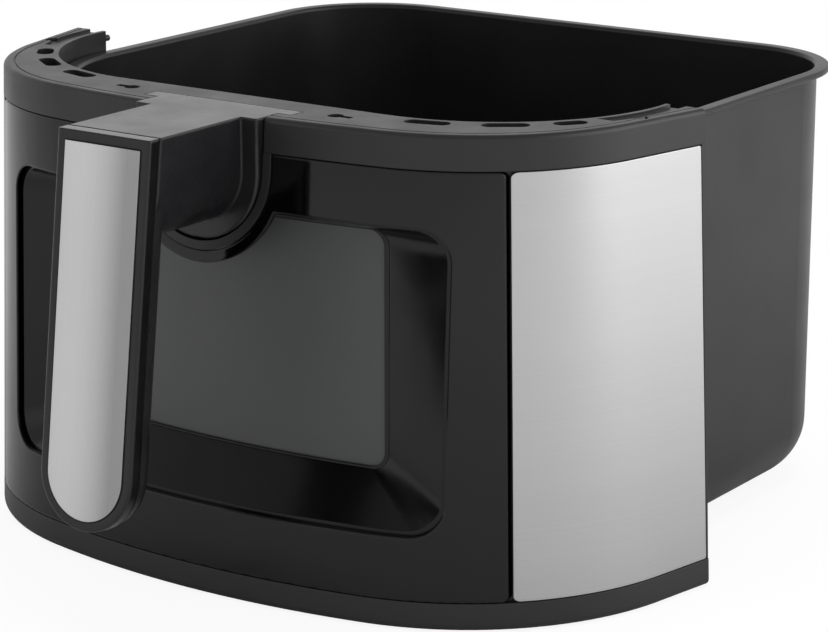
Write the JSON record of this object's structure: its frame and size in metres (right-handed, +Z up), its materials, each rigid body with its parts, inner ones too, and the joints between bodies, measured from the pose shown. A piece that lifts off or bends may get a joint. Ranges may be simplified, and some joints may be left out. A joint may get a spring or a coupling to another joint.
{
  "type": "air fryer basket drawer",
  "caption": "Pull-out air fryer drawer: deep coated pan with lift-out crisper plate behind a bowed front with glazed window, brushed cheeks, vented trim and paddle handle.",
  "frame": {"origin": "on the resting plane, under the middle of the plane where the drawer front's rear edge meets the machine", "axes": "+X to the right seen from the front, -Y out of the front towards the user, +Z up; the drawer slides into the machine along +Y"},
  "size_m": [0.3068, 0.3364, 0.1764],
  "materials": {
    "coated_steel": "matt non-stick coating on drawn steel",
    "crisper_coating": "matt non-stick coating on pressed steel",
    "satin_black_plastic": "fine spark-eroded satin",
    "gloss_black_plastic": "mirror-moulded gloss",
    "bezel_black_plastic": "moulded semi-gloss",
    "brushed_steel": "fine straight brush",
    "plain_steel": "bright zinc plating",
    "window_glass": "grey toughened glass, polished",
    "black_silicone": "moulded silicone"
  },
  "bodies": {
    "drawer": {"pan": "coated_steel", "top_trim": "satin_black_plastic", "foot_tray": "satin_black_plastic", "handle_body": "satin_black_plastic", "grip_bezel": "satin_black_plastic", "front_carrier": "satin_black_plastic", "window_retainer": "satin_black_plastic", "front_panel": "gloss_black_plastic", "window_bezel": "bezel_black_plastic", "steel_cheek_right": "brushed_steel", "steel_cheek_left": "brushed_steel", "grip_insert": "brushed_steel", "pan_bracket": "plain_steel", "side_tabs": "plain_steel", "handle_stay": "plain_steel", "pan_glass_frame": "plain_steel", "handle_screws": "plain_steel", "trim_screws": "plain_steel", "foot_screws": "plain_steel", "window_glass": "window_glass", "pan_glass": "window_glass", "window_glass_seal": "black_silicone", "pan_glass_seal": "black_silicone"},
    "crisper": {"crisper_plate": "crisper_coating", "crisper_feet": "black_silicone"}
  },
  "joints": [
    {"name": "crisper_lift", "type": "slide", "parent": "drawer", "child": "crisper", "axis": [0, 0, 1], "range_m": [0, 0.19]}
  ]
}
